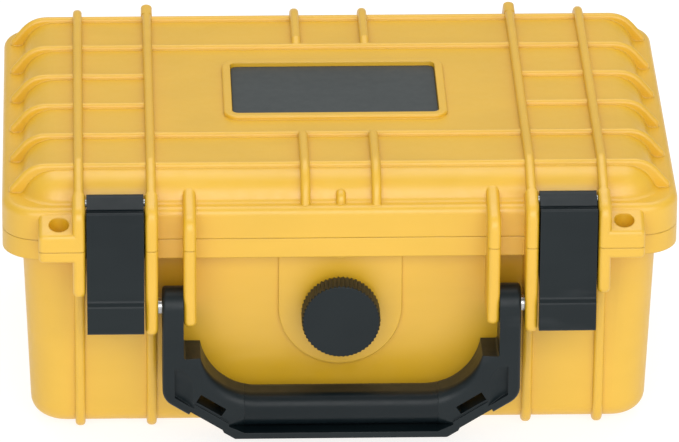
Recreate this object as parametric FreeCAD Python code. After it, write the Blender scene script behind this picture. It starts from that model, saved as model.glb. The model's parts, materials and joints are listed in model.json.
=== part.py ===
"""Small hard case: a deep base, a ribbed domed lid, two latches, a bail handle and a pressure valve.

Millimetres. +X to the right, +Y to the hinges at the back, +Z up. The origin is on the ground under
the middle of the case. Pieces with a left and a right copy are drawn on the right and mirrored.
"""

import FreeCAD
import Part
import math
import os

Vector = FreeCAD.Vector

# Overall size at the rim and on each side of the seam
width = 212.0
rim_depth = 145.0
base_height = 70.6
lid_height = 21.2

# Rim: the lid's skirt above the seam and the base's band below it
rim_corner = 12.0
seam_gap = 0.12
band_height = 6.5
skirt_height = 10.2
skirt_edge = 2.5
nub_radius = 1.6
nub_inset = 2.0

# Walls of both shells
wall = 3.0
wall_inset = 6.0
wall_lean = 2.4
wall_corner = 11.5
floor_edge = 6.0

# Lid dome and its ribs
ledge = 4.8
side_ledge = 6.0
cove = 2.2
dome_edge = 10.5
dome_corner = 12.0
main_rib_height = 3.0
main_rib_width = 2.9
cross_rib_height = 1.5
cross_rib_width = 2.6
cross_rib_pitch = 23.0
rib_round = 1.25
rib_root = 1.0
rib_foot_inset = 2.2
rib_foot_slope = 50.0
rib_toe = 1.3
rib_toe_round = 1.6
outer_rib_inset = 24.0
centre_rib_x = 11.1
centre_rib_ramp = 3.0
stub_rib_height = 2.0
stub_rib_rise = 3.6
stub_rib_round = 3.2

# Runners down the walls and under the floor
runner_height = 1.9
runner_width = 3.2
runner_round = 1.3

# Front ears that guard the latches and carry the handle, with heights from the ledge and from the seam
latch_bay = 22.6
handle_bay = 11.9
ear_width = 4.0
ear_reach = 9.5
ear_rise = 3.0
ear_nose = 5.0
ear_round = 1.6
ear_gusset = 10.0
ear_toe = 2.2
outer_ear_drop = 16.0
inner_ear_drop = 29.2
third_ear_drop = 26.5
third_ear_dip = 0.5
third_ear_root = 3.1

# Lock blocks beside the outer ears
block_width = 10.6
block_drop = 3.8
block_front_rise = 5.6
lock_hole_inset = 6.2
lock_hole_offset = 4.2
lock_hole_radius = 3.15

# Lid seal in its groove, and the base's tongue under it
seal_inset = 5.0
groove_width = 4.0
groove_depth = 5.0
seal_thickness = 2.2
seal_side_gap = 0.1
seal_gap = 0.2
tongue_width = 2.0

# Bare plate in a raised frame on the lid
plate_length = 65.4
plate_depth = 39.2
plate_thickness = 1.0
plate_corner = 2.2
plate_gap = 0.25
plate_recess = 1.0
frame_width = 2.7
frame_height = 1.4

# Steel pins: close in what holds them, running in what turns on them
pin_seat_gap = 0.02
pin_running_gap = 0.05
pin_inset = 0.5

# Hinges at the back
hinge_pin_radius = 1.5
hinge_lug_radius = 5.2
hinge_lid_lug_width = 3.6
hinge_base_lug_width = 4.0
hinge_side_gap = 0.3
hinge_web_gap = 0.35
hinge_web_drop = 14.0
hinge_web_tip = 2.0
lid_lug_overhang = 7.0
lid_lug_round = 2.0
lid_lug_edge = 1.2
lid_open_angle = 120.0

# Latches, with heights from the ledge, from the pin and from the seam
latch_pin_radius = 1.25
latch_pin_offset = 0.5
latch_pin_rise = 2.75
latch_barrel = 2.7
latch_side_gap = 0.4
latch_lip_rise = 0.3
latch_lip = 1.1
latch_lip_round = 0.5
latch_groove = 2.4
latch_groove_depth = 0.8
latch_plate = 2.6
latch_side_wall = 2.2
latch_rim_gap = 0.5
latch_ridge_drop = 18.4
latch_drop = 28.0
latch_tab_proud = 1.5
latch_tab = 4.0
latch_round = 1.2
latch_bend_round = 1.5
latch_tip_round = 0.8
latch_back_round = 2.0
hook_gap = 0.4
hook_reach = 3.8
hook_thickness = 3.2
hook_round = 1.0

# Handle, with lengths along X from the outer face of its arms and heights from its bottom
handle_pin_radius = 2.5
handle_pin_offset = 4.0
handle_pin_drop = 21.1
handle_eye = 6.4
handle_thickness = 14.0
handle_arm = 6.7
handle_side_gap = 1.2
handle_bottom = 6.2
handle_slope = 32.5
handle_corner = 6.0
handle_flat_inset = 22.8
handle_knee_inset = 18.8
handle_knee_rise = 3.2
handle_step = 1.0
handle_round = 1.0
handle_edge = 1.2
notch_inset = 8.8
notch_depth = 1.25
gusset_reach = 5.3
gusset_rise = 27.9
gusset_round = 0.8
grip_rise = 13.9
grip_inset = 25.7
grip_bend_inset = 29.7
grip_round = 4.4
grip_low_round = 7.0
grip_fade = 0.4
grip_fade_steps = 4
flange_thickness = 2.0
flange_side = 3.4
flange_proud = 0.7
flange_knee_inset = 20.9
pocket_inset = 3.8
pocket_rise = 24.6
pocket_length = 6.4
pocket_depth = 1.9
core_width = 6.0
core_height = 6.0
slot_length = 9.4
slot_width = 2.9
slot_inset = 15.3
slot_lift = 6.0

# Pressure valve
valve_drop = 26.8
pad_half = 19.4
pad_proud = 0.5
valve_hole = 5.0
bush_gap = 0.1
bush_flange_radius = 8.5
bush_flange = 1.6
bush_inside = 5.6
gasket_thickness = 0.8
stem_radius = 3.4
stem_gap = 0.05
stem_short = 1.0
nut_radius = 8.4
nut_sides = 6
nut_thickness = 4.0
nut_seat_inset = 0.5
nut_face_margin = 1.2
knob_radius = 12.4
knob_thickness = 7.3
knob_lift = 0.7
knob_chamfer = 0.5
knurl_count = 54
knurl_depth = 0.55
o_ring_radius = 6.0
o_ring_section = 0.8
o_ring_gap = 0.1

# Smallest length that counts when edges are picked by their place
tiny = 1e-6

# Levels and planes of the shells
rim_x = width / 2
rim_y = rim_depth / 2
height = base_height + lid_height
lid_bottom = base_height + seam_gap
ledge_z = base_height + skirt_height
top_z = height - main_rib_height
rib_low = min(ledge_z, top_z - dome_edge) - rib_root
dome_x = rim_x - side_ledge
dome_y = rim_y - ledge
dome_bend = dome_y - dome_edge
foot_x = rim_x - rib_foot_inset
front_root = -dome_y + dome_edge / 2
band_z = base_height - band_height
wall_x = rim_x - wall_inset
wall_y = rim_y - wall_inset
wall_root = -wall_y + wall_lean + wall / 2
floor_z = runner_height
tongue_top = lid_bottom + groove_depth - seal_thickness - seal_gap

# Ribs and ears
outer_rib_x = rim_x - outer_rib_inset
inner_rib_x = outer_rib_x - latch_bay
third_ear_x = inner_rib_x - handle_bay
ear_y = -rim_y - ear_reach
ear_crest = ledge_z + ear_rise
third_ear_crest = ledge_z - third_ear_dip
frame_x = plate_length / 2 + plate_gap + frame_width
frame_y = plate_depth / 2 + plate_gap + frame_width
clear_row = math.floor(frame_y / cross_rib_pitch + 0.5) + 0.5

# Latches and hinges, which stand out as far at the back as the latches do at the front
latch_y = -rim_y - latch_pin_offset
latch_pin_z = ledge_z + latch_pin_rise
reach = rim_y + ear_reach + latch_tab_proud
hinge_y = reach - hinge_lug_radius
hinge_z = base_height

# Handle
handle_y = -rim_y - handle_pin_offset
handle_front = handle_y - handle_thickness / 2
handle_back = handle_y + handle_thickness / 2
handle_pin_z = base_height - handle_pin_drop
handle_knee_z = handle_bottom + handle_knee_rise
handle_tilt = math.tan(math.radians(handle_slope))
gusset_top = handle_bottom + gusset_rise
grip_top = handle_bottom + grip_rise
grip_low = handle_bottom + flange_thickness
grip_front = handle_front + flange_proud
arm_out = inner_rib_x - ear_width / 2 - handle_side_gap
arm_in = arm_out - handle_arm
gusset_x = arm_in - gusset_reach
handle_knee_x = arm_out - handle_knee_inset
handle_flat = arm_out - handle_flat_inset
notch_x = arm_out - notch_inset
grip_half = arm_out - grip_inset
grip_bend_x = arm_out - grip_bend_inset
grip_bend = ((gusset_x - grip_bend_x) ** 2 + (gusset_top - grip_top) ** 2) / (2 * (gusset_top - grip_top))

# Valve
valve_z = base_height - valve_drop
pad_y = -wall_y - pad_proud
valve_seat_y = -wall_y + wall + nut_seat_inset
bush_face = pad_y - gasket_thickness - bush_flange
knob_back = bush_face - knob_lift
stem_end = valve_seat_y + bush_inside - stem_short

# Longer than any piece, for cuts that go right through
far = 2 * (width + rim_depth + height)


def outline(corners, place):
    """A closed wire through (u, v, radius) corners, each rounded by its radius."""
    count = len(corners)
    turns = []
    for i, (u, v, radius) in enumerate(corners):
        here = Vector(u, v, 0)
        if radius == 0:
            turns.append((here, None, here))
            continue
        before = corners[i - 1]
        after = corners[(i + 1) % count]
        back = (Vector(before[0], before[1], 0) - here).normalize()
        ahead = (Vector(after[0], after[1], 0) - here).normalize()
        half = back.getAngle(ahead) / 2
        middle = (back + ahead).normalize() * (radius / math.sin(half) - radius)
        cut = radius / math.tan(half)
        turns.append((here + back * cut, here + middle, here + ahead * cut))
    edges = []
    for i, (start, middle, end) in enumerate(turns):
        if middle:
            edges.append(Part.Arc(place(start), place(middle), place(end)).toShape())
        following = turns[(i + 1) % count][0]
        if end.distanceToPoint(following) > tiny:
            edges.append(Part.LineSegment(place(end), place(following)).toShape())
    return Part.Wire(edges)


def across_x(corners, x_low, x_high):
    """A (y, z) outline extruded along X."""
    wire = outline(corners, lambda p: Vector(x_low, p.x, p.y))
    return Part.Face(wire).extrude(Vector(x_high - x_low, 0, 0))


def across_y(corners, y_low, y_high):
    """An (x, z) outline extruded along Y."""
    wire = outline(corners, lambda p: Vector(p.x, y_low, p.y))
    return Part.Face(wire).extrude(Vector(0, y_high - y_low, 0))


def box(x_low, x_high, y_low, y_high, z_low, z_high):
    size = (x_high - x_low, y_high - y_low, z_high - z_low)
    return Part.makeBox(*size, Vector(x_low, y_low, z_low))


def rounded_wire(half_x, half_y, corner, z):
    corners = [(-half_x, -half_y, corner), (half_x, -half_y, corner)]
    corners += [(half_x, half_y, corner), (-half_x, half_y, corner)]
    return outline(corners, lambda p: Vector(p.x, p.y, z))


def rounded_block(half_x, half_y, corner, z_low, z_high):
    face = Part.Face(rounded_wire(half_x, half_y, corner, z_low))
    return face.extrude(Vector(0, 0, z_high - z_low))


def rim_ring(band_width, z_low, z_high):
    """A ring that follows the rim, seal_inset inside its outer face."""
    shapes = []
    for grow in (band_width / 2, -band_width / 2):
        inset = seal_inset - grow
        shapes.append(rounded_block(rim_x - inset, rim_y - inset, rim_corner - inset, z_low, z_high))
    return shapes[0].cut(shapes[1])


def rod_x(radius, y, z, x_low, x_high):
    return Part.makeCylinder(radius, x_high - x_low, Vector(x_low, y, z), Vector(1, 0, 0))


def rod_y(radius, x, z, y_low, y_high):
    return Part.makeCylinder(radius, y_high - y_low, Vector(x, y_low, z), Vector(0, 1, 0))


def tangent_turn(run, rise, radius):
    """Angle in the YZ plane at which a line from (run, rise) touches a circle about the origin."""
    return math.atan2(rise, run) - math.acos(radius / math.hypot(run, rise))


def mirrored(shape):
    return shape.mirror(Vector(0, 0, 0), Vector(1, 0, 0))


def both_sides(shapes):
    return shapes + [mirrored(shape) for shape in shapes]


def fused(shapes):
    return shapes[0].multiFuse(shapes[1:]).removeSplitter()


def round_edges(solid, radius, wanted):
    """Rounds the edges whose bounds pass the test."""
    return solid.makeFillet(radius, [edge for edge in solid.Edges if wanted(edge.BoundBox)])


def level(z):
    """Picks the edges that lie at one height."""
    return lambda b: abs(b.ZMin - z) < tiny and abs(b.ZMax - z) < tiny


def crest(axis, low, seam=None):
    """Picks the long edges of a rib that is thin along axis, not those at its foot or on the seam."""
    def wanted(b):
        if getattr(b, axis + "Length") > tiny or b.ZMax < low + tiny:
            return False
        return seam is None or not level(seam)(b)
    return wanted


def front_edges(root, seam):
    """Picks an ear's long edges, not those at its root or on the seam."""
    def wanted(b):
        return b.XLength < tiny and b.YMin < root - tiny and not level(seam)(b)
    return wanted


def dome_foot(b):
    """Picks the edges where the dome meets the ledge."""
    inside = max(-b.XMin, b.XMax) < dome_x + tiny and max(-b.YMin, b.YMax) < dome_y + tiny
    return inside and level(ledge_z)(b)


def upright_at(x, y):
    """Picks the upright edge at one place."""
    def wanted(b):
        return b.XLength < tiny and b.YLength < tiny and abs(b.XMin - x) < tiny and abs(b.YMin - y) < tiny
    return wanted


# Lid


def cross_rib(y, x_low, x_high):
    """A low rib along X that curves down to a toe on the ledge where no x limit is given."""
    top = top_z + cross_rib_height
    toe = ledge_z + rib_toe
    bend_x = foot_x - (top - toe) / math.tan(math.radians(rib_foot_slope))
    end = [(bend_x, top, dome_edge), (foot_x, toe, rib_toe_round), (foot_x, rib_low, 0)]
    right = end if x_high is None else [(x_high, top, 0), (x_high, rib_low, 0)]
    left = [(x_low, rib_low, 0), (x_low, top, 0)]
    if x_low is None:
        left = [(-x, z, r) for x, z, r in reversed(end)]
    rib = across_y(left + right, y - cross_rib_width / 2, y + cross_rib_width / 2)
    return round_edges(rib, rib_round, crest("Y", rib_low))


def cross_ribs():
    """Rows of ribs across the lid, those beside the plate only outside the inner ribs."""
    ribs = []
    rows = math.floor((dome_y - dome_edge / 2) / cross_rib_pitch + 0.5)
    for row in range(rows):
        for side in (-1, 1):
            y = side * (row + 0.5) * cross_rib_pitch
            if row + 0.5 < clear_row:
                ribs += [cross_rib(y, inner_rib_x, None), cross_rib(y, None, -inner_rib_x)]
            else:
                ribs.append(cross_rib(y, None, None))
    return ribs


def main_rib(corners, x):
    rib = across_x(corners, x - main_rib_width / 2, x + main_rib_width / 2)
    return round_edges(rib, rib_round, crest("X", rib_low, lid_bottom))


def main_ribs():
    """Tall ribs along Y on the right half: two full ones, and the centre rib's front and rear ends."""
    back = dome_y + main_rib_height
    edge = dome_edge + main_rib_height
    front = [(ear_y, lid_bottom, 0), (-dome_y, lid_bottom, 0), (-dome_y, rib_low, 0)]
    crest_line = [(-dome_bend, height, ear_nose), (ear_y, ear_crest, ear_nose)]
    outer = main_rib(front + [(back, rib_low, 0), (back, height, edge)] + crest_line, outer_rib_x)
    rear_end = [(back, rib_low, 0), (back, top_z, 0), (dome_bend + lid_lug_overhang, height, ear_nose)]
    inner = main_rib(front + rear_end + crest_line, inner_rib_x)
    stop = clear_row * cross_rib_pitch
    rear = [(stop, rib_low, 0), (back, rib_low, 0), (back, height, edge)]
    rear += [(stop + centre_rib_ramp, height, 0), (stop, top_z + cross_rib_height, 0)]
    fore = [(-y, z, r) for y, z, r in reversed(rear)]
    return [outer, inner, main_rib(rear, centre_rib_x), main_rib(fore, centre_rib_x)]


def stub_rib():
    """Short rib low on the dome's front, in the middle."""
    front = -dome_y - stub_rib_height
    top = ledge_z + stub_rib_rise
    corners = [(front, rib_low, 0), (front_root, rib_low, 0)]
    corners += [(front_root, top, 0), (front, top, stub_rib_round)]
    rib = across_x(corners, -main_rib_width / 2, main_rib_width / 2)
    return round_edges(rib, rib_round, crest("X", rib_low))


def ear_crest_at(y):
    """Height at y of the sloping crest that the latch ears share with the main ribs."""
    return height + (ear_crest - height) * (y + dome_bend) / (ear_y + dome_bend)


def lid_ears():
    """The lid's half of the right-hand front ears."""
    shoulder = ear_y + ear_gusset
    front = [(ear_y, lid_bottom, 0), (front_root, lid_bottom, 0)]
    guard = front + [(front_root, ledge_z + rib_root, 0), (shoulder, ear_crest_at(shoulder), 0)]
    guard.append((ear_y, ear_crest, ear_nose))
    third = front + [(front_root, top_z - third_ear_root, 0), (ear_y, third_ear_crest, ear_nose)]
    ears = []
    for x, corners in ((outer_rib_x, guard), (inner_rib_x, guard), (third_ear_x, third)):
        ear = across_x(corners, x - ear_width / 2, x + ear_width / 2)
        ears.append(round_edges(ear, ear_round, crest("X", lid_bottom)))
    return ears


def lock_block(z_low, z_high, front_corners):
    """The right-hand block for a padlock, in the lid or in the base, level with the ear in front."""
    outer = outer_rib_x + ear_width / 2 + block_width
    corners = [(-dome_y, z_low, 0), (-dome_y, z_high, 0)]
    corners += [(ear_y, z, radius) for z, radius in front_corners]
    block = across_x(corners, outer_rib_x, outer)
    return round_edges(block, ear_round, upright_at(outer, ear_y))


def lid_lock_block():
    """Its top slopes down to the front."""
    return lock_block(lid_bottom, ledge_z, [(base_height + block_front_rise, ear_round), (lid_bottom, 0)])


def lock_hole():
    x = outer_rib_x + lock_hole_inset
    return Part.makeCylinder(lock_hole_radius, height, Vector(x, -rim_y - lock_hole_offset, 0))


def lug_top():
    """Upper end of the lid lug's sloping back, as (y, z)."""
    return dome_bend + lid_lug_overhang, height


def lug_facing():
    """Direction that the lid lug's sloping back faces in the YZ plane, tangent to its round end."""
    y, z = lug_top()
    return tangent_turn(y - hinge_y, z - hinge_z, hinge_lug_radius)


def hinge_boss(root, x_low, x_high):
    """A hinge lug: a round end about the hinge axis, joined to the root outline."""
    return fused([rod_x(hinge_lug_radius, hinge_y, hinge_z, x_low, x_high), across_x(root, x_low, x_high)])


def lid_hinge_lug():
    top_y, top = lug_top()
    low = lid_bottom + hinge_side_gap
    touch_y = hinge_y + hinge_lug_radius * math.cos(lug_facing())
    touch_z = hinge_z + hinge_lug_radius * math.sin(lug_facing())
    root = [(dome_bend, low, 0), (hinge_y, low, 0), (touch_y, touch_z, 0)]
    root += [(top_y, top, lid_lug_round), (dome_bend, top, 0)]
    half = hinge_lid_lug_width / 2
    sides = (inner_rib_x - half, inner_rib_x + half)
    boss = rod_x(hinge_lug_radius, hinge_y, hinge_z, *sides)
    boss = round_edges(boss, lid_lug_edge, lambda b: b.XLength < tiny)
    web = round_edges(across_x(root, *sides), lid_lug_edge, crest("X", touch_z))
    return fused([boss, web])


def plate_frame():
    """The raised frame round the plate."""
    top = top_z + frame_height
    frame = rounded_block(frame_x, frame_y, plate_corner + frame_width, top_z - wall / 2, top)
    return round_edges(frame, frame_height / 2, level(top))


def plate_seat():
    """The recess that the plate lies in."""
    half_x = frame_x - frame_width
    half_y = frame_y - frame_width
    return rounded_block(half_x, half_y, plate_corner, top_z - plate_recess, height)


def lid_shell():
    skirt = rounded_block(rim_x, rim_y, rim_corner, lid_bottom, ledge_z)
    skirt = round_edges(skirt, skirt_edge, level(ledge_z))
    dome = rounded_block(dome_x, dome_y, dome_corner, lid_bottom, top_z)
    dome = round_edges(dome, dome_edge, level(top_z))
    body = round_edges(fused([skirt, dome]), cove, dome_foot)
    sides = both_sides(main_ribs() + lid_ears() + [lid_lock_block(), lid_hinge_lug()])
    lid = fused([body, plate_frame(), stub_rib()] + cross_ribs() + sides)
    hollow = rounded_block(wall_x - wall, wall_y - wall, wall_corner - wall, base_height, top_z - wall)
    hollow = round_edges(hollow, dome_edge - wall, level(top_z - wall))
    groove = rim_ring(groove_width, base_height, lid_bottom + groove_depth)
    holes = [lock_hole()]
    holes.append(rod_x(latch_pin_radius + pin_seat_gap, latch_y, latch_pin_z, *latch_pin_span()))
    holes.append(rod_x(hinge_pin_radius + pin_running_gap, hinge_y, hinge_z, *hinge_pin_span()))
    return lid.cut([hollow, groove, plate_seat()] + both_sides(holes))


def lid_seal():
    top = lid_bottom + groove_depth
    return rim_ring(groove_width - 2 * seal_side_gap, top - seal_thickness, top)


def label_plate():
    low = top_z - plate_recess
    return rounded_block(plate_length / 2, plate_depth / 2, plate_corner, low, low + plate_thickness)


# Base


def wall_profile(grow, top):
    """The base's (y, z) section, grown outwards all round."""
    bottom = floor_z - grow
    foot = wall_y - wall_lean + grow
    head = foot + wall_lean * (top - bottom) / (band_z - floor_z)
    edge = floor_edge + grow
    return [(-head, top, 0), (-foot, bottom, edge), (foot, bottom, edge), (head, top, 0)]


def runner(x):
    strip = across_x(wall_profile(runner_height, band_z), x - runner_width / 2, x + runner_width / 2)
    return round_edges(strip, runner_round, lambda b: b.XLength < tiny and not level(band_z)(b))


def tray(grow, low, top, edge):
    """A drafted tray with rounded bottom edges, grown by grow from the base's outer faces."""
    lean = wall_lean * (top - low) / (band_z - floor_z)
    head_x = wall_x + grow
    head_y = wall_y + grow
    corner = wall_corner + grow
    head = rounded_wire(head_x, head_y, corner, top)
    foot = rounded_wire(head_x - lean, head_y - lean, corner, low)
    solid = Part.makeLoft([foot, head], True, True)
    return round_edges(solid, edge, level(low))


def base_ears():
    """The base's half of the right-hand front ears."""
    drops = ((outer_rib_x, outer_ear_drop), (inner_rib_x, inner_ear_drop), (third_ear_x, third_ear_drop))
    ears = []
    for x, drop in drops:
        bottom = base_height - drop
        corners = [(wall_root, bottom, 0), (wall_root, base_height, 0)]
        corners += [(ear_y, base_height, 0), (ear_y, bottom, ear_toe)]
        ear = across_x(corners, x - ear_width / 2, x + ear_width / 2)
        ears.append(round_edges(ear, ear_round, front_edges(wall_root, base_height)))
    return ears


def base_lock_block():
    low = base_height - block_drop
    return lock_block(low, base_height, [(base_height, 0), (low, ear_round)])


def base_hinge_lugs():
    """Two lugs beside the lid's lug on the right, and the web between them that stops the lid."""
    inner = hinge_lid_lug_width / 2 + hinge_side_gap
    outer = inner + hinge_base_lug_width
    foot = band_z - hinge_web_drop
    root = [(wall_y - wall, foot, 0), (wall_y, foot, 0), (reach, hinge_z, 0), (wall_y - wall, hinge_z, 0)]
    lugs = [across_x(stop_web(foot), inner_rib_x - inner, inner_rib_x + inner)]
    for low, high in ((-outer, -inner), (inner, outer)):
        lugs.append(hinge_boss(root, inner_rib_x + low, inner_rib_x + high))
    return lugs


def stop_web(foot):
    """The (y, z) section of the web: its sloping top meets the back of the opened lid's lug."""
    slope = lug_facing() - math.radians(lid_open_angle) + math.pi / 2
    away = hinge_lug_radius + hinge_web_gap
    bend_y = hinge_y + away * math.tan(slope / 2)
    bend_z = hinge_z - away
    tip_z = bend_z + (reach - bend_y) * math.tan(slope)
    lower = [(wall_y - wall, foot, 0), (wall_y, foot, 0), (reach, tip_z - hinge_web_tip, 0)]
    return lower + [(reach, tip_z, 0), (bend_y, bend_z, 0), (wall_y - wall, bend_z, 0)]


def valve_pad():
    """Flat pad under the band's middle, round at the bottom, that gives the valve an upright seat."""
    return [rod_y(pad_half, 0, valve_z, pad_y, wall_root),
            box(-pad_half, pad_half, pad_y, wall_root, valve_z, band_z)]


def base_shell():
    body = tray(0, floor_z, base_height - wall, floor_edge)
    band = rounded_block(rim_x, rim_y, rim_corner, band_z, base_height)
    nub = rod_y(nub_radius, 0, band_z, -rim_y + nub_inset, wall_root)
    tongue = rim_ring(tongue_width, base_height - wall, tongue_top)
    runners = [runner(outer_rib_x), runner(inner_rib_x)]
    sides = both_sides(runners + base_ears() + [base_lock_block()] + base_hinge_lugs())
    base = fused([body, band, nub, tongue] + valve_pad() + sides)
    hollow = tray(-wall, floor_z + wall, base_height + groove_depth, floor_edge - wall)
    valve_cut = rod_y(valve_hole, 0, valve_z, -far, 0)
    nut_face = rod_y(nut_radius + nut_face_margin, 0, valve_z, valve_seat_y, 0)
    holes = [lock_hole()]
    holes.append(rod_x(handle_pin_radius + pin_seat_gap, handle_y, handle_pin_z, *handle_pin_span()))
    holes.append(rod_x(hinge_pin_radius + pin_seat_gap, hinge_y, hinge_z, *hinge_pin_span()))
    return base.cut([hollow, valve_cut, nut_face] + both_sides(holes))


# Pins


def latch_pin_span():
    half = ear_width / 2 - pin_inset
    return inner_rib_x - half, outer_rib_x + half


def handle_pin_span():
    half = ear_width / 2 - pin_inset
    return third_ear_x - half, inner_rib_x + half


def hinge_pin_span():
    half = hinge_lid_lug_width / 2 + hinge_side_gap + hinge_base_lug_width - pin_inset
    return inner_rib_x - half, inner_rib_x + half


def latch_pin():
    return rod_x(latch_pin_radius, latch_y, latch_pin_z, *latch_pin_span())


def handle_pin():
    return rod_x(handle_pin_radius, handle_y, handle_pin_z, *handle_pin_span())


def hinge_pin():
    return rod_x(hinge_pin_radius, hinge_y, hinge_z, *hinge_pin_span())


# Latch


def latch():
    """The right-hand latch: barrel, groove, hollow plate, finger tab, and a hook for the base's band."""
    left = inner_rib_x + ear_width / 2 + latch_side_gap
    right = outer_rib_x - ear_width / 2 - latch_side_gap
    lip_top = latch_pin_z + latch_lip_rise
    groove_front = ear_y + latch_lip
    groove_back = groove_front + latch_groove
    ridge = base_height - latch_ridge_drop
    bottom = base_height - latch_drop
    back = -rim_y - latch_rim_gap
    tab_front = ear_y - latch_tab_proud
    tab_back = tab_front + latch_tab
    plate_back = ear_y + latch_plate
    hook_top = band_z - hook_gap
    hook_low = hook_top - hook_thickness
    touch = tangent_turn(groove_back - latch_y, latch_lip_rise, latch_barrel)
    touch_y = latch_y + latch_barrel * math.cos(touch)
    touch_z = latch_pin_z + latch_barrel * math.sin(touch)
    front_line = [(back, latch_pin_z, 0), (touch_y, touch_z, 0), (groove_back, lip_top, latch_lip_round)]
    front_line += [(ear_y, lip_top, latch_lip_round), (ear_y, ridge + latch_tab_proud, latch_bend_round)]
    front_line.append((tab_front, ridge, latch_round))
    tab = [(tab_front, bottom, latch_round), (tab_back, bottom, latch_tip_round)]
    back_line = [(tab_back, hook_low - latch_tab, latch_back_round), (back, hook_low, hook_round)]
    shell = across_x(front_line + tab + back_line, left, right)
    barrel = rod_x(latch_barrel, latch_y, latch_pin_z, left, right)
    hook = box(left, right, plate_back, -rim_y + hook_reach, hook_low, hook_top)
    groove_low = lip_top - latch_groove_depth
    groove = box(left, right, groove_front, groove_back, groove_low, height)
    pocket_top = groove_low - latch_plate
    pocket = box(left + latch_side_wall, right - latch_side_wall, plate_back, 0, hook_top, pocket_top)
    bore = rod_x(latch_pin_radius + pin_running_gap, latch_y, latch_pin_z, 0, far)
    return fused([shell.cut([groove, pocket]), barrel, hook]).cut(bore)


# Handle


def lower_edge_at(x):
    """Height at x of the bail's sloping lower edge between the knee and the notch."""
    return handle_knee_z + (x - handle_knee_x) * handle_tilt


def outer_edge_at(x):
    """The same between the notch and the arm, where it hangs lower by the notch."""
    return lower_edge_at(x) - notch_depth - handle_tilt * notch_depth / 2


def flange_top_at(x):
    return lower_edge_at(x) + flange_side


def handle_outline():
    """The right half of the bail's outer (x, z) outline, from the bottom up to the inside of the arm."""
    top = handle_pin_z + handle_eye
    notch_end = notch_x + notch_depth / 2
    step = (handle_knee_x - handle_step / 2, handle_knee_z - handle_step, 0)
    lower = [(handle_flat, handle_bottom, handle_round), step, (handle_knee_x, handle_knee_z, 0)]
    lower += [(notch_x, lower_edge_at(notch_x), 0), (notch_end, outer_edge_at(notch_end), 0)]
    arm = [(arm_out, outer_edge_at(arm_out), handle_corner), (arm_out, top, 0), (arm_in, top, 0)]
    return lower + arm + [(arm_in, gusset_top, gusset_round)]


def handle_side():
    """The bail seen along X: round at the pins, a little thicker from the gussets down."""
    eye = rod_x(handle_eye, handle_y, handle_pin_z, -rim_x, rim_x)
    corners = [(handle_y - handle_eye, handle_pin_z, 0), (handle_front, gusset_top, 0)]
    corners += [(handle_front, handle_bottom, 0), (handle_back, handle_bottom, 0)]
    corners += [(handle_back, gusset_top, 0), (handle_y + handle_eye, handle_pin_z, 0)]
    return fused([eye, across_x(corners, -rim_x, rim_x)])


def handle_opening():
    """What the fingers go through: straight over the grip, curved up to the gussets."""
    middle = box(-grip_bend_x, grip_bend_x, -far, far, grip_top, far)
    upper = box(-gusset_x, gusset_x, -far, far, gusset_top, far)
    curve = rod_y(grip_bend, grip_bend_x, grip_top + grip_bend, -far, far)
    curve = curve.common(box(grip_bend_x, gusset_x, -far, far, grip_top, gusset_top))
    return fused([middle, upper] + both_sides([curve]))


def edge_section(corner, across, inwards, radius):
    """What is cut off an edge for one radius, in the plane of two directions that lead into the solid."""
    start = corner + across * radius
    end = corner + inwards * radius
    middle = corner + (across + inwards) * (radius * (1 - math.sqrt(0.5)))
    past_start = start - inwards * flange_proud
    past_end = end - across * flange_proud
    outside = corner - (across + inwards) * flange_proud
    edges = [Part.Arc(start, middle, end).toShape()]
    for a, b in ((end, past_end), (past_end, outside), (outside, past_start), (past_start, start)):
        edges.append(Part.LineSegment(a, b).toShape())
    return Part.Wire(edges)


def grip_edge(face, inward):
    """What rounds one upper edge of the grip: full over the grip, fading out up the curves to the gussets.

    The edge lies in the front or the back face, and inward is the direction along Y into the grip.
    """
    full_turn = math.asin((gusset_x - grip_bend_x) / grip_bend)
    inwards = Vector(0, inward, 0)
    sections = []
    for step in range(grip_fade_steps + 1):
        share = step / grip_fade_steps
        radius = grip_round + (grip_fade - grip_round) * share ** 2
        across = Vector(math.sin(full_turn * share), 0, -math.cos(full_turn * share))
        corner = Vector(grip_bend_x, face, grip_top + grip_bend) + across * grip_bend
        sections.append(edge_section(corner, across, inwards, radius))
    middle = Part.Face(sections[0]).extrude(Vector(-2 * grip_bend_x, 0, 0))
    return [middle] + both_sides([Part.makeLoft(sections, True)])


def set_back():
    """The (x, z) area of the right half that lies behind the flange along the bail's lower edge."""
    knee = arm_out - flange_knee_inset
    corners = [(0, grip_low, 0), (grip_half, grip_low, 0), (knee, flange_top_at(knee) - handle_step, 0)]
    corners += [(knee, flange_top_at(knee), 0), (notch_x, flange_top_at(notch_x), 0)]
    corners += [(arm_in, gusset_top, 0), (arm_in, far, 0), (0, far, 0)]
    return across_y(corners, -far, far)


def front_recess():
    """Set-back front of the grip and the right-hand gusset, which comes up level with the arm."""
    near = handle_front - handle_thickness
    corners = [(0, near, 0), (arm_in, near, 0), (arm_in, handle_front, 0)]
    corners += [(gusset_x, grip_front, 0), (0, grip_front, 0)]
    wire = outline(corners, lambda p: Vector(p.x, p.y, handle_bottom))
    return Part.Face(wire).extrude(Vector(0, 0, gusset_rise + flange_side)).common(set_back())


def grip_underside():
    """What rounds the right half of the grip's lower front edge, fading out up the slope of the flange."""
    knee = arm_out - flange_knee_inset
    ends = [(grip_half, grip_low, grip_low_round), (knee, flange_top_at(knee) - handle_step, grip_fade)]
    sections = []
    for x, z, radius in ends:
        sections.append(edge_section(Vector(x, grip_front, z), Vector(0, 0, 1), Vector(0, 1, 0), radius))
    middle = Part.Face(sections[0]).extrude(Vector(-grip_half, 0, 0))
    return fused([middle, Part.makeLoft(sections, True)]).common(set_back())


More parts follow.
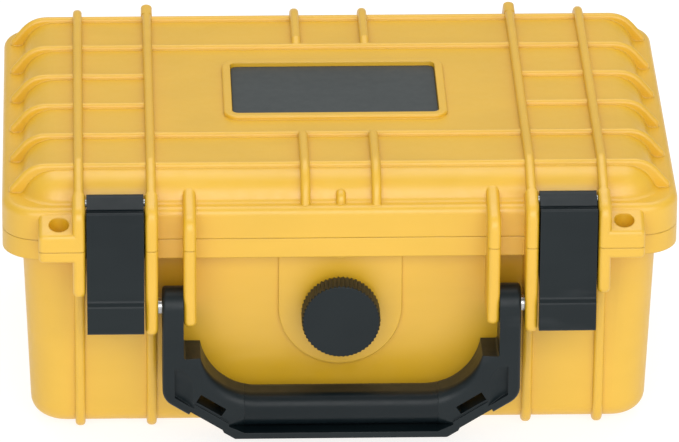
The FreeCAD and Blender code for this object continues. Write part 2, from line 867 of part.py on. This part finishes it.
def gusset_pocket():
    """Dished pocket beside the arm, round at the top, deepest along the arm and cut off by the flange."""
    x = arm_out - pocket_inset
    end = x - pocket_length
    low = [(x, outer_edge_at(x) + flange_side, 0), (end, outer_edge_at(end) + flange_side, 0)]
    area = across_y(low + [(end, gusset_top, 0), (x, gusset_top, 0)], handle_front - pocket_depth, handle_y)
    radius = (pocket_length ** 2 + pocket_depth ** 2) / (2 * pocket_depth)
    centre = Vector(x, handle_front + pocket_depth - radius, handle_bottom + pocket_rise - pocket_length)
    trough = Part.makeCylinder(radius, pocket_rise, centre, Vector(0, 0, -1))
    return fused([Part.makeSphere(radius, centre), trough]).common(area)


def gusset_slot():
    """Slanted slot through the right-hand gusset, along the flange."""
    half = slot_length / 2
    slot = box(-half, half, -far, far, -slot_width / 2, slot_width / 2)
    slot.rotate(Vector(0, 0, 0), Vector(0, -1, 0), handle_slope)
    x = arm_out - slot_inset
    slot.translate(Vector(x, 0, lower_edge_at(x) + slot_lift))
    return slot


def arm_side(b):
    """Picks the edges of the arms' outer faces."""
    return b.XLength < tiny and abs(max(-b.XMin, b.XMax) - arm_out) < tiny


def bail():
    """The whole bail as one solid, before it is divided into frame and grip."""
    right = handle_outline()
    left = [(-x, z, r) for x, z, r in reversed(right)]
    slab = across_y(right + left, handle_y - handle_thickness, handle_y + handle_thickness)
    solid = round_edges(slab.common(handle_side()), handle_edge, arm_side).cut(handle_opening())
    cuts = both_sides([front_recess(), grip_underside(), gusset_pocket(), gusset_slot()])
    return solid.cut(cuts + grip_edge(grip_front, 1) + grip_edge(handle_back, -1))


def grip_bar():
    """The space that the grip fills, less the bar of the frame that runs through it."""
    half = core_width / 2
    core = box(-grip_half, grip_half, handle_y - half, handle_y + half, grip_low, grip_low + core_height)
    return box(-grip_half, grip_half, -far, far, grip_low, handle_pin_z).cut(core)


def handle_frame():
    eye = rod_x(handle_pin_radius + pin_running_gap, handle_y, handle_pin_z, 0, far)
    return bail().cut([grip_bar()] + both_sides([eye]))


def handle_grip():
    return bail().common(grip_bar())


# Pressure valve, along Y through the front wall


def valve_gasket():
    ring = rod_y(bush_flange_radius, 0, valve_z, pad_y - gasket_thickness, pad_y)
    return ring.cut(rod_y(valve_hole, 0, valve_z, -far, 0))


def valve_bush():
    flange = rod_y(bush_flange_radius, 0, valve_z, bush_face, pad_y - gasket_thickness)
    tube = rod_y(valve_hole - bush_gap, 0, valve_z, bush_face, valve_seat_y + bush_inside)
    return fused([flange, tube]).cut(rod_y(stem_radius + stem_gap, 0, valve_z, -far, 0))


def valve_nut():
    corners = []
    for side in range(nut_sides):
        turn = 2 * math.pi * side / nut_sides
        corners.append((nut_radius * math.cos(turn), valve_z + nut_radius * math.sin(turn), 0))
    nut = across_y(corners, valve_seat_y, valve_seat_y + nut_thickness)
    return nut.cut(rod_y(valve_hole, 0, valve_z, -far, 0))


def knurled_disc(y_low, y_high):
    """A disc whose rim is cut into small pointed teeth."""
    points = []
    for i in range(2 * knurl_count):
        radius = knob_radius - knurl_depth * (i % 2)
        turn = math.pi * i / knurl_count
        points.append((radius * math.cos(turn), valve_z + radius * math.sin(turn), 0))
    return across_y(points, y_low, y_high)


def valve_knob():
    """Knurled knob with a chamfered face, its stem, and a groove in its back for the ring."""
    front = knob_back - knob_thickness
    face_radius = knob_radius - knob_chamfer
    cone = Part.makeCone(face_radius, face_radius + knob_thickness, knob_thickness,
                         Vector(0, front, valve_z), Vector(0, 1, 0))
    disc = knurled_disc(front, knob_back).common(cone)
    stem = rod_y(stem_radius, 0, valve_z, knob_back, stem_end)
    half = o_ring_section + 2 * o_ring_gap
    seat = bush_face - 2 * o_ring_section - 2 * o_ring_gap
    groove = rod_y(o_ring_radius + half, 0, valve_z, seat, knob_back)
    groove = groove.cut(rod_y(o_ring_radius - half, 0, valve_z, seat, knob_back))
    return fused([disc, stem]).cut(groove)


def valve_o_ring():
    centre = Vector(0, bush_face - o_ring_gap - o_ring_section, valve_z)
    return Part.makeTorus(o_ring_radius, o_ring_section, centre, Vector(0, 1, 0))


def main():
    os.makedirs("parts", exist_ok=True)
    parts = {
        "base_shell": base_shell(),
        "lid_shell": lid_shell(),
        "lid_seal": lid_seal(),
        "label_plate": label_plate(),
        "handle_frame": handle_frame(),
        "handle_grip": handle_grip(),
        "valve_knob": valve_knob(),
        "valve_o_ring": valve_o_ring(),
        "valve_bush": valve_bush(),
        "valve_gasket": valve_gasket(),
        "valve_nut": valve_nut(),
    }
    paired = {
        "latch": latch(),
        "latch_pin": latch_pin(),
        "handle_pin": handle_pin(),
        "hinge_pin": hinge_pin(),
    }
    for name, shape in paired.items():
        parts[name + "_right"] = shape
        parts[name + "_left"] = mirrored(shape)
    for name, shape in parts.items():
        print(name, len(shape.Solids), shape.isValid(), round(shape.Volume, 1))
        shape.exportStep("parts/" + name + ".step")


main()
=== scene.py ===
"""Looks of the small hard case: camera, soft studio light and a finish for every piece."""

import json
import math

import bpy
from mathutils import Matrix, Vector

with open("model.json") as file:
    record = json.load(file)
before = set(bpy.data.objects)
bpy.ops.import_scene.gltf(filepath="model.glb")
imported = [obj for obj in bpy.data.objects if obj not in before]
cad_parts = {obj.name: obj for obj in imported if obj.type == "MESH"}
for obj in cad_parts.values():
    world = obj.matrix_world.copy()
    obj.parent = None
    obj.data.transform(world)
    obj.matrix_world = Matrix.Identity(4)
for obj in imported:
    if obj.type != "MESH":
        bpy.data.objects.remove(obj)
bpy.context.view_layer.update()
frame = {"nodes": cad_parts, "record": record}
nodes = frame["nodes"]
scene = bpy.context.scene

MM = 0.001

# Camera, in millimetres and degrees, with the photograph's frame in pixels
CAMERA_PLACE = (-80.31, -2220.96, 1074.43)
CAMERA_PITCH = 24.9
CAMERA_YAW = -2.1247
CAMERA_ROLL = -0.4005
FOCAL_PIXELS = 7587.5
FRAME_WIDTH = 679
SENSOR = 36.0

# Studio, in metres and watts
WORLD_COLOUR = (0.96, 0.99, 1, 1)
WORLD_STRENGTH = 0.53
LIGHT_TARGET = Vector((0, 0, 0.05))
SOFTBOXES = {
    "key": {"place": (-0.2, -1.6, 1.05), "size": (1.4, 1.0), "power": 6.5},
    "fill": {"place": (1.0, -1.3, 0.9), "size": (1.0, 1.0), "power": 4.5},
    "overhead": {"place": (0, 0.5, 1.5), "size": (1.6, 1.2), "power": 10.6},
    "front": {"place": (-0.05, -1.9, 0.95), "size": (2.6, 1.5), "power": 18},
}
FLOOR_HALF = 6.0
FLOOR_TONE = 0.25
FLOOR_ROUGHNESS = 0.8
FLOOR_GLOW = 0.82

# Soft edges: the cosine between rounded and flat normal at which an edge starts and is full
EDGE_START = 0.97
EDGE_FULL = 0.75
EDGE_SAMPLES = 6

# Moulded plastic: how much wear and scuffs change its colour and roughness
WEAR_TINT = 0.45
WEAR_POLISH = 0.08
SCUFF_TINT = 0.5
SCUFF_ROUGHNESS = 0.3
ROUGHNESS_SWING = 0.05

# Grip skin, in millimetres
PEBBLE_SIZE = 0.7
PEBBLE_DEPTH = -0.02

# Drawn steel
STEEL_BRIGHT = (0.5, 0.5, 0.49)
STEEL_DULL = (0.34, 0.34, 0.34)
DULL_ROUGHNESS = 0.12
EDGE_ROUGHNESS = 0.1

# Sealing rubber
RUBBER_BLACK = (0.014, 0.014, 0.015)
RUBBER_BLOOM = (0.034, 0.034, 0.035)
RUBBER_EDGE = (0.05, 0.05, 0.05)
RUBBER_EDGE_TINT = 0.4
RUBBER_SHEEN = 0.15


class Finish:
    """A node material, with the few building blocks that every surface here is made of."""

    def __init__(self, name):
        self.material = bpy.data.materials.new(name)
        self.material.use_nodes = True
        self.tree = self.material.node_tree
        self.shader = self.tree.nodes["Principled BSDF"]

    def add(self, kind, **settings):
        """A new node with its settings."""
        node = self.tree.nodes.new(kind)
        for key, value in settings.items():
            setattr(node, key, value)
        return node

    def feed(self, source, target):
        """Link an output to an input, or set the input to a plain value."""
        if isinstance(source, bpy.types.NodeSocket):
            self.tree.links.new(source, target)
        else:
            target.default_value = source

    def set(self, name, source):
        """Feed an input of the surface's own shader."""
        self.feed(source, self.shader.inputs[name])

    def noise(self, size, detail, stretch=(1, 1, 1)):
        """Noise fixed to the piece, its feature size in millimetres."""
        place = self.add("ShaderNodeTexCoord")
        mapping = self.add("ShaderNodeMapping")
        self.feed(place.outputs["Object"], mapping.inputs["Vector"])
        self.feed(stretch, mapping.inputs["Scale"])
        texture = self.add("ShaderNodeTexNoise")
        self.feed(mapping.outputs["Vector"], texture.inputs["Vector"])
        self.feed(1 / (size * MM), texture.inputs["Scale"])
        self.feed(detail, texture.inputs["Detail"])
        return texture.outputs["Fac"]

    def spread(self, value, span, to=(0.0, 1.0)):
        """A span of a value, mapped to another range and held at its ends."""
        node = self.add("ShaderNodeMapRange")
        self.feed(value, node.inputs["Value"])
        for name, limit in zip(("From Min", "From Max", "To Min", "To Max"), (*span, *to)):
            self.feed(limit, node.inputs[name])
        return node.outputs["Result"]

    def pattern(self, span, to=(0.0, 1.0), **noise):
        """Noise with a span of it mapped to a range."""
        return self.spread(self.noise(**noise), span, to)

    def maths(self, operation, a, b):
        """Two values combined, held between 0 and 1."""
        node = self.add("ShaderNodeMath", operation=operation, use_clamp=True)
        self.feed(a, node.inputs[0])
        self.feed(b, node.inputs[1])
        return node.outputs["Value"]

    def share(self, value, part):
        """A part of a value."""
        return self.maths("MULTIPLY", value, part)

    def blend(self, share, a, b):
        """One colour going over into another."""
        node = self.add("ShaderNodeMix", data_type="RGBA")
        colours = [socket for socket in node.inputs if socket.type == "RGBA"]
        self.feed(share, node.inputs["Factor"])
        for source, socket in zip((a, b), colours):
            self.feed(source if isinstance(source, bpy.types.NodeSocket) else (*source, 1), socket)
        return next(socket for socket in node.outputs if socket.type == "RGBA")

    def bump(self, height, depth, normal, strength):
        """Relief of a depth in millimetres over a normal."""
        node = self.add("ShaderNodeBump")
        self.feed(height, node.inputs["Height"])
        self.feed(depth * MM, node.inputs["Distance"])
        self.feed(strength, node.inputs["Strength"])
        self.feed(normal, node.inputs["Normal"])
        return node.outputs["Normal"]

    def soft_edge(self, radius):
        """A normal that rounds every edge by a radius in millimetres, and how near an edge a point is."""
        bevel = self.add("ShaderNodeBevel", samples=EDGE_SAMPLES)
        self.feed(radius * MM, bevel.inputs["Radius"])
        flat = self.add("ShaderNodeNewGeometry")
        turn = self.add("ShaderNodeVectorMath", operation="DOT_PRODUCT")
        self.feed(bevel.outputs["Normal"], turn.inputs[0])
        self.feed(flat.outputs["Normal"], turn.inputs[1])
        return bevel.outputs["Normal"], self.spread(turn.outputs["Value"], span=(EDGE_START, EDGE_FULL))


def add_camera():
    """A long lens that looks down at the front, turned a little to the left."""
    yaw = Matrix.Rotation(math.radians(CAMERA_YAW), 3, "Z")
    pitch = math.radians(CAMERA_PITCH)
    roll = math.radians(CAMERA_ROLL)
    right = yaw @ Vector((1, 0, 0))
    ahead = yaw @ Vector((0, math.cos(pitch), -math.sin(pitch)))
    down = ahead.cross(right)
    rolled_right = math.cos(roll) * right + math.sin(roll) * down
    rolled_down = math.cos(roll) * down - math.sin(roll) * right
    turn = Matrix((rolled_right, -rolled_down, -ahead)).transposed()
    data = bpy.data.cameras.new("camera")
    data.sensor_width = SENSOR
    data.lens = FOCAL_PIXELS * SENSOR / FRAME_WIDTH
    camera = bpy.data.objects.new("camera", data)
    camera.matrix_world = Matrix.Translation(Vector(CAMERA_PLACE) * MM) @ turn.to_4x4()
    scene.collection.objects.link(camera)
    scene.camera = camera


def add_world():
    """Even, slightly cool light from all round."""
    world = bpy.data.worlds.new("studio")
    world.use_nodes = True
    background = world.node_tree.nodes["Background"]
    background.inputs["Color"].default_value = WORLD_COLOUR
    background.inputs["Strength"].default_value = WORLD_STRENGTH
    scene.world = world


def add_softbox(name, place, size, power):
    """A large soft light aimed at the case."""
    light = bpy.data.lights.new(name, "AREA")
    light.shape = "RECTANGLE"
    light.size, light.size_y = size
    light.energy = power
    lamp = bpy.data.objects.new(name, light)
    lamp.location = place
    aim = LIGHT_TARGET - Vector(place)
    lamp.rotation_euler = aim.to_track_quat("-Z", "Y").to_euler()
    scene.collection.objects.link(lamp)


def add_floor():
    """A plain table with a white glow, so that it stays as pale as the photograph's ground."""
    near, far = -FLOOR_HALF, FLOOR_HALF
    corners = [(near, near, 0), (far, near, 0), (far, far, 0), (near, far, 0)]
    mesh = bpy.data.meshes.new("floor")
    mesh.from_pydata(corners, [], [(0, 1, 2, 3)])
    floor = bpy.data.objects.new("floor", mesh)
    scene.collection.objects.link(floor)
    finish = Finish("pale_floor")
    finish.set("Base Color", (FLOOR_TONE, FLOOR_TONE, FLOOR_TONE, 1))
    finish.set("Roughness", FLOOR_ROUGHNESS)
    finish.set("Emission Color", (1, 1, 1, 1))
    finish.set("Emission Strength", FLOOR_GLOW)
    mesh.materials.append(finish.material)


def moulded(name, deep, pale, worn, rough, gloss, edge, grain, grain_depth):
    """Moulded plastic: clouded colour, fine grain, scuffs and edges worn paler and smoother."""
    finish = Finish(name)
    normal, near_edge = finish.soft_edge(edge)
    clouds = finish.pattern(size=38, detail=3, span=(0.3, 0.7))
    flow = finish.pattern(size=9, detail=2, stretch=(0.25, 1, 1), span=(0.35, 0.65), to=(0.0, 0.35))
    patchy = finish.pattern(size=6, detail=3, span=(0.38, 0.62), to=(0.15, 1.0))
    scuffs = finish.pattern(size=5, detail=4, stretch=(0.12, 1, 0.5), span=(0.66, 0.74), to=(0.0, 0.3))
    wear = finish.maths("MULTIPLY", near_edge, patchy)
    colour = finish.blend(finish.maths("ADD", clouds, flow), deep, pale)
    colour = finish.blend(finish.share(wear, WEAR_TINT), colour, worn)
    finish.set("Base Color", finish.blend(finish.share(scuffs, SCUFF_TINT), colour, worn))
    swing = (rough - ROUGHNESS_SWING, rough + ROUGHNESS_SWING)
    satin = finish.pattern(size=3, detail=3, span=(0.3, 0.7), to=swing)
    satin = finish.maths("ADD", satin, finish.share(scuffs, SCUFF_ROUGHNESS))
    finish.set("Roughness", finish.maths("SUBTRACT", satin, finish.share(wear, WEAR_POLISH)))
    finish.set("Specular IOR Level", gloss)
    waves = finish.bump(finish.noise(size=14, detail=1), depth=0.06, normal=normal, strength=0.5)
    skin = finish.bump(finish.noise(size=grain, detail=3), grain_depth, normal=waves, strength=0.6)
    finish.set("Normal", skin)
    return finish


def stippled(name, **look):
    """Soft grip skin: moulded like the rest, with a pebbled relief."""
    finish = moulded(name, **look)
    place = finish.add("ShaderNodeTexCoord")
    pebbles = finish.add("ShaderNodeTexVoronoi", feature="SMOOTH_F1")
    finish.feed(place.outputs["Object"], pebbles.inputs["Vector"])
    finish.feed(1 / (PEBBLE_SIZE * MM), pebbles.inputs["Scale"])
    skin = finish.shader.inputs["Normal"].links[0].from_socket
    finish.set("Normal", finish.bump(pebbles.outputs["Distance"], PEBBLE_DEPTH, normal=skin, strength=0.5))
    return finish


def drawn_steel(name):
    """Bright drawn wire: fine lines along the pin, dull patches and rounded ends."""
    finish = Finish(name)
    normal, near_edge = finish.soft_edge(radius=0.3)
    lines = finish.noise(size=0.25, detail=2, stretch=(0.02, 1, 1))
    dull = finish.pattern(size=2.5, detail=3, span=(0.45, 0.7))
    finish.set("Base Color", finish.blend(dull, STEEL_BRIGHT, STEEL_DULL))
    finish.set("Metallic", 1.0)
    rough = finish.spread(lines, span=(0.3, 0.7), to=(0.16, 0.3))
    rough = finish.maths("ADD", rough, finish.share(dull, DULL_ROUGHNESS))
    finish.set("Roughness", finish.maths("ADD", rough, finish.share(near_edge, EDGE_ROUGHNESS)))
    finish.set("Normal", finish.bump(lines, depth=0.004, normal=normal, strength=0.6))
    return finish


def rubber(name):
    """Matt black sealing rubber with a chalky bloom and a fine grain."""
    finish = Finish(name)
    normal, near_edge = finish.soft_edge(radius=0.2)
    bloom = finish.pattern(size=8, detail=3, span=(0.45, 0.75))
    colour = finish.blend(bloom, RUBBER_BLACK, RUBBER_BLOOM)
    finish.set("Base Color", finish.blend(finish.share(near_edge, RUBBER_EDGE_TINT), colour, RUBBER_EDGE))
    finish.set("Roughness", finish.spread(bloom, span=(0, 1), to=(0.62, 0.82)))
    finish.set("Sheen Weight", RUBBER_SHEEN)
    grain = finish.noise(size=0.4, detail=3)
    finish.set("Normal", finish.bump(grain, depth=0.02, normal=normal, strength=0.5))
    return finish


def make_finishes():
    """One finish for each material slot, colours linear, edge radius and grain in millimetres."""
    return {
        "shell": moulded(
            "yellow_plastic",
            deep=(0.68, 0.387, 0.008),
            pale=(0.73, 0.417, 0.013),
            worn=(0.75, 0.46, 0.034),
            rough=0.42,
            gloss=1.0,
            edge=0.6,
            grain=0.5,
            grain_depth=0.01,
        ),
        "hardware": moulded(
            "black_plastic",
            deep=(0.003, 0.007, 0.009),
            pale=(0.006, 0.011, 0.013),
            worn=(0.05, 0.055, 0.058),
            rough=0.38,
            gloss=0.27,
            edge=0.35,
            grain=0.45,
            grain_depth=0.012,
        ),
        "grip": stippled(
            "black_grip",
            deep=(0.003, 0.007, 0.009),
            pale=(0.006, 0.010, 0.012),
            worn=(0.03, 0.034, 0.036),
            rough=0.34,
            gloss=0.22,
            edge=0.35,
            grain=0.5,
            grain_depth=0.006,
        ),
        "plate": moulded(
            "plate_plastic",
            deep=(0.036, 0.043, 0.043),
            pale=(0.043, 0.05, 0.05),
            worn=(0.09, 0.1, 0.1),
            rough=0.5,
            gloss=0.35,
            edge=0.2,
            grain=0.3,
            grain_depth=0.01,
        ),
        "pin": drawn_steel("drawn_steel"),
        "seal": rubber("black_rubber"),
    }


add_camera()
add_world()
add_floor()
for name, softbox in SOFTBOXES.items():
    add_softbox(name, **softbox)
scene.view_settings.view_transform = "Standard"

finishes = make_finishes()
for part in frame["record"]["subparts"]:
    piece = nodes[part["node"]]
    piece.data.materials.clear()
    piece.data.materials.append(finishes[part["material_slot"]].material)
